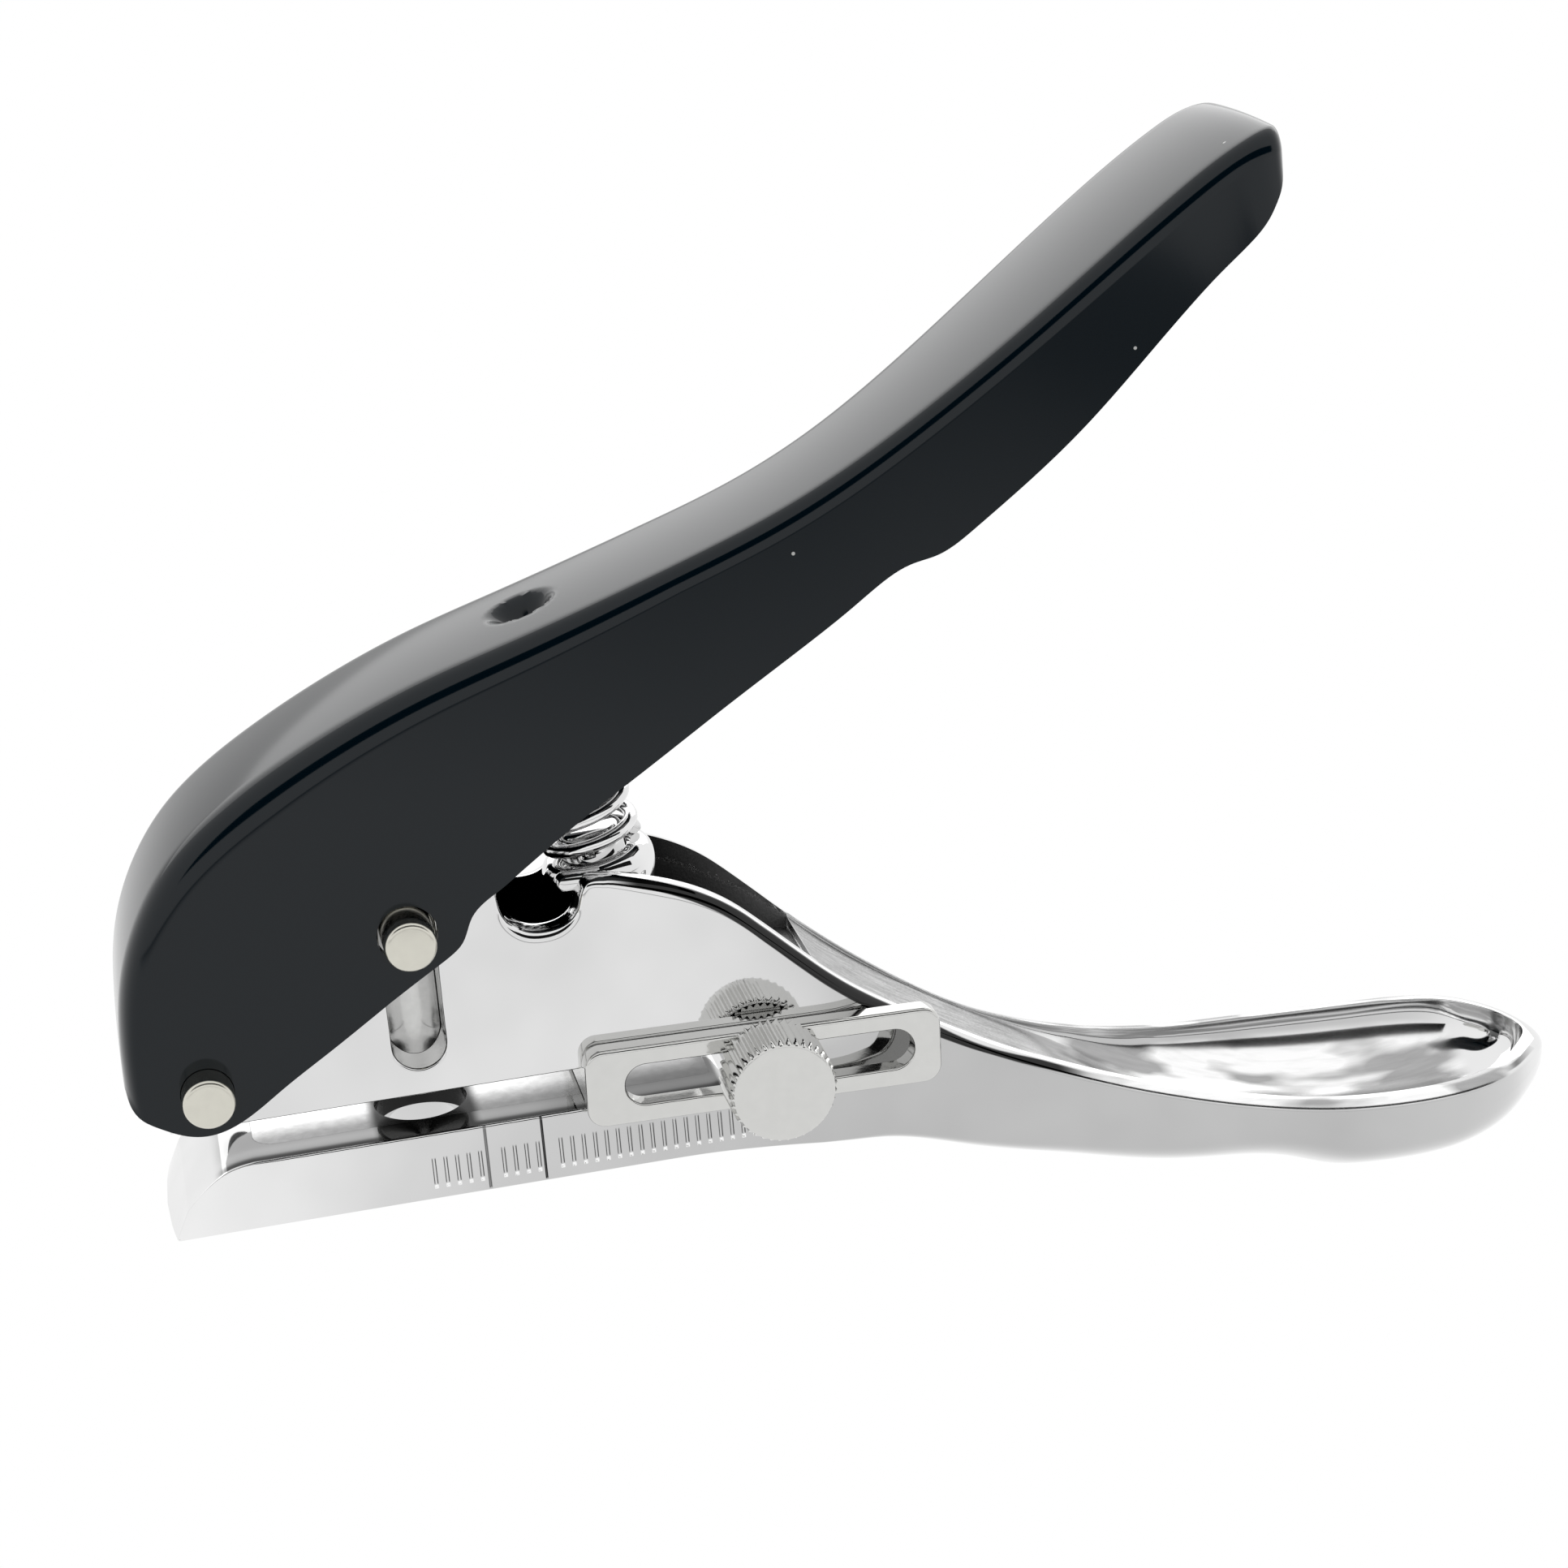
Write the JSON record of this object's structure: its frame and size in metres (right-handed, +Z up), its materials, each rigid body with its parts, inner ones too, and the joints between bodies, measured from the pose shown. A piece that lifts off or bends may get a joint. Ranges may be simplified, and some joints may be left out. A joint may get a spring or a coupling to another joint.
{
  "type": "single hole punch",
  "caption": "Hand-held single hole punch: chromed jaw and spoon grip, black sprung lever, sliding depth gauge held by a knurled thumb screw.",
  "frame": {"origin": "centre of the bounding box in plan, on the surface the punch stands on", "axes": "+X from the nose to the grip's end, +Y away from the gauge's side, +Z up, with the punch standing on its toe and its heel"},
  "size_m": [0.131, 0.027, 0.0941],
  "materials": {
    "frame_chrome": "bright chrome plate on a die casting, with a matt grained floor in the grip's channel",
    "die_steel": "ground steel",
    "lever_enamel": "gloss black enamel with fine scratches",
    "pin_steel": "satin nickel plate",
    "spring_steel": "bright plated wire",
    "gauge_nickel": "satin nickel plate",
    "knob_nickel": "satin nickel plate, straight knurl"
  },
  "bodies": {
    "frame": {"frame": "frame_chrome", "die_plate": "die_steel", "return_spring": "spring_steel"},
    "pivot": {"pivot_pin": "pin_steel"},
    "lever": {"lever": "lever_enamel"},
    "punch": {"punch": "die_steel", "drive_pin": "pin_steel"},
    "gauge": {"gauge_plate": "gauge_nickel"},
    "screw": {"thumb_screw": "knob_nickel"}
  },
  "joints": [
    {"name": "lever_hinge", "type": "hinge", "parent": "pivot", "child": "lever", "pos_m": [-0.05848, 0.00168, 0.01434], "axis": [0, 1, 0], "range_deg": [0, 14], "stiffness_Nm_per_rad": 1.6, "springref_deg": -11.46, "deforming": ["return_spring"]},
    {"name": "pivot_slide", "type": "slide", "parent": "frame", "child": "pivot", "axis": [-0.994, 0, -0.1097], "range_m": [-0.0002, 0.0025]},
    {"name": "punch_slide", "type": "slide", "parent": "frame", "child": "punch", "axis": [0.1097, 0, -0.994], "range_m": [-0.0003, 0.005]},
    {"name": "gauge_slide", "type": "slide", "parent": "frame", "child": "gauge", "axis": [0.994, 0, 0.1097], "range_m": [-0.0085, 0.011]},
    {"name": "thumb_turn", "type": "hinge", "parent": "frame", "child": "screw", "pos_m": [-0.01064, -0.00792, 0.01388], "axis": [0, 1, 0], "range_deg": [0, 360]}
  ],
  "couplings": [
    {"joint": "pivot_slide", "follows": "lever_hinge", "m_per_rad": 0.00909},
    {"joint": "punch_slide", "follows": "lever_hinge", "m_per_rad": 0.01933}
  ]
}
